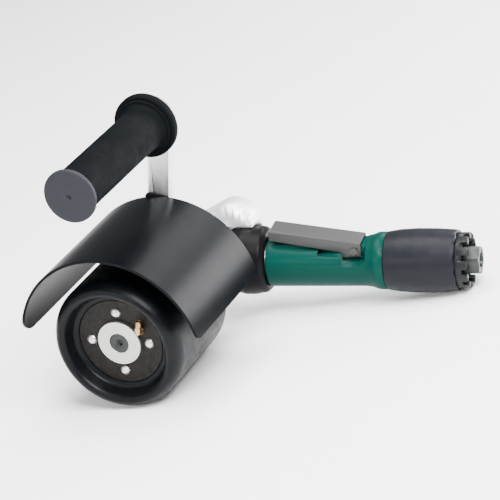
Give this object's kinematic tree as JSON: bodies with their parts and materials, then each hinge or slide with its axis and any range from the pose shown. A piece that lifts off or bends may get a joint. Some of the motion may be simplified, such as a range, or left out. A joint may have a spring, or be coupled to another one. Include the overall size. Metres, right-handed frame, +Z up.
{
  "type": "pneumatic drum die grinder",
  "caption": "Right-angle air die grinder with an inflatable drum wheel under a curved guard, a side handle, a squeeze lever and a rear air inlet.",
  "frame": {"origin": "middle of the drum wheel, on its spin axis", "axes": "+Y along the drum axis from the open front towards the gear head, +X towards the motor, +Z up; the tool lies as on a bench, on its drum and rear sleeve"},
  "size_m": [0.2938, 0.2198, 0.2062],
  "materials": {
    "rubber_black": "satin tyre rubber",
    "grip_rubber": "matt moulded rubber",
    "end_plug": "matt moulded plastic",
    "guard_black": "satin black powder coat",
    "plate_dark": "dark phosphated steel",
    "alloy_core": "turned",
    "head_alloy": "bright shot-blasted casting",
    "bar_alloy": "brushed bar",
    "bright_steel": "turned",
    "fastener": "plated",
    "dark_steel": "black oxide",
    "gear_steel": "ground and hardened",
    "brass": "machined",
    "collar_black": "satin black",
    "teal_housing": "glossy teal enamel",
    "lever_grey": "satin grey",
    "sleeve_grey": "moulded grey sleeve",
    "ring_black": "moulded",
    "felt": "pressed felt",
    "seal_rubber": "smooth",
    "blade_resin": "laminated resin"
  },
  "bodies": {
    "tool_body": {"gear_head": "head_alloy", "head_cap": "head_alloy", "head_cap_screws": "dark_steel", "spindle_front_bearing": "gear_steel", "spindle_rear_bearing": "gear_steel", "spindle_seal": "seal_rubber", "pinion_bearing": "gear_steel", "neck_collar": "collar_black", "ring_gear": "gear_steel", "motor_housing": "teal_housing", "cylinder_liner": "gear_steel", "front_end_plate": "gear_steel", "rear_end_plate": "gear_steel", "rotor_front_bearing": "gear_steel", "rotor_rear_bearing": "gear_steel", "exhaust_sleeve": "sleeve_grey", "muffler_insert": "felt", "rear_ring": "ring_black", "inlet_bushing": "dark_steel", "inlet_screen": "bright_steel", "lever_pin": "lever_grey", "valve_bushing": "brass", "valve_spring": "gear_steel"},
    "drum_wheel": {"drum_tyre": "rubber_black", "drum_core": "alloy_core", "front_plate": "plate_dark", "back_plate": "plate_dark", "plate_screws": "fastener", "tyre_valve": "brass", "retaining_washer": "bright_steel", "retaining_screw": "dark_steel", "drive_spindle": "gear_steel", "bevel_gear": "gear_steel"},
    "valve_core": {"valve_core_pin": "brass"},
    "pinion_and_carrier": {"bevel_pinion": "gear_steel", "planet_carrier": "gear_steel"},
    "planet_1": {"planet_gear_1": "gear_steel"},
    "planet_2": {"planet_gear_2": "gear_steel"},
    "planet_3": {"planet_gear_3": "gear_steel"},
    "rotor": {"motor_rotor": "gear_steel", "rotor_blades": "blade_resin"},
    "lever": {"throttle_lever": "lever_grey"},
    "plunger": {"throttle_plunger": "gear_steel", "plunger_seal": "seal_rubber"},
    "guard_and_handle": {"guard": "guard_black", "guard_lug": "guard_black", "guard_rivets": "guard_black", "guard_screws": "dark_steel", "handle_bracket": "bar_alloy", "clamp_screw": "dark_steel", "handle_bolt": "fastener", "grip_core": "alloy_core", "grip_sleeve": "grip_rubber", "grip_end_plug": "end_plug"}
  },
  "joints": [
    {"name": "drum_spin", "type": "hinge", "parent": "tool_body", "child": "drum_wheel", "pos_m": [0, 0, 0], "axis": [0, 1, 0], "continuous": true},
    {"name": "valve_core_push", "type": "slide", "parent": "drum_wheel", "child": "valve_core", "axis": [-0.3808, 0, -0.9247], "range_m": [0, 0.001], "stiffness_N_per_m": 400, "springref_m": -0.0005},
    {"name": "pinion_spin", "type": "hinge", "parent": "tool_body", "child": "pinion_and_carrier", "pos_m": [0, 0.097, 0], "axis": [0.983, 0.1254, -0.134], "continuous": true},
    {"name": "planet_1_spin", "type": "hinge", "parent": "pinion_and_carrier", "child": "planet_1", "pos_m": [0.04652, 0.10257, 0.00319], "axis": [0.983, 0.1254, -0.134], "continuous": true},
    {"name": "planet_2_spin", "type": "hinge", "parent": "pinion_and_carrier", "child": "planet_2", "pos_m": [0.04556, 0.09475, -0.01115], "axis": [0.983, 0.1254, -0.134], "continuous": true},
    {"name": "planet_3_spin", "type": "hinge", "parent": "pinion_and_carrier", "child": "planet_3", "pos_m": [0.04358, 0.11098, -0.01053], "axis": [0.983, 0.1254, -0.134], "continuous": true},
    {"name": "rotor_spin", "type": "hinge", "parent": "tool_body", "child": "rotor", "pos_m": [0.07668, 0.10678, -0.01045], "axis": [0.983, 0.1254, -0.134], "continuous": true},
    {"name": "lever_press", "type": "hinge", "parent": "tool_body", "child": "lever", "pos_m": [0.1305, 0.11316, -0.00518], "axis": [0.1214, -0.9919, -0.0377], "range_deg": [0, 4], "stiffness_Nm_per_rad": 3, "springref_deg": -4.58},
    {"name": "plunger_slide", "type": "slide", "parent": "tool_body", "child": "plunger", "axis": [-0.1376, 0.0208, -0.9903], "range_m": [0, 0.0013]},
    {"name": "guard_swivel", "type": "hinge", "parent": "tool_body", "child": "guard_and_handle", "pos_m": [0, 0.07, 0], "axis": [0, 1, 0], "range_deg": [-50, 30]}
  ],
  "couplings": [
    {"joint": "pinion_spin", "follows": "drum_spin", "ratio": -1.3125},
    {"joint": "planet_1_spin", "follows": "drum_spin", "ratio": 3.675},
    {"joint": "planet_2_spin", "follows": "drum_spin", "ratio": 3.675},
    {"joint": "planet_3_spin", "follows": "drum_spin", "ratio": 3.675},
    {"joint": "rotor_spin", "follows": "drum_spin", "ratio": -5.9062},
    {"joint": "plunger_slide", "follows": "lever_press", "m_per_rad": 0.0185}
  ]
}
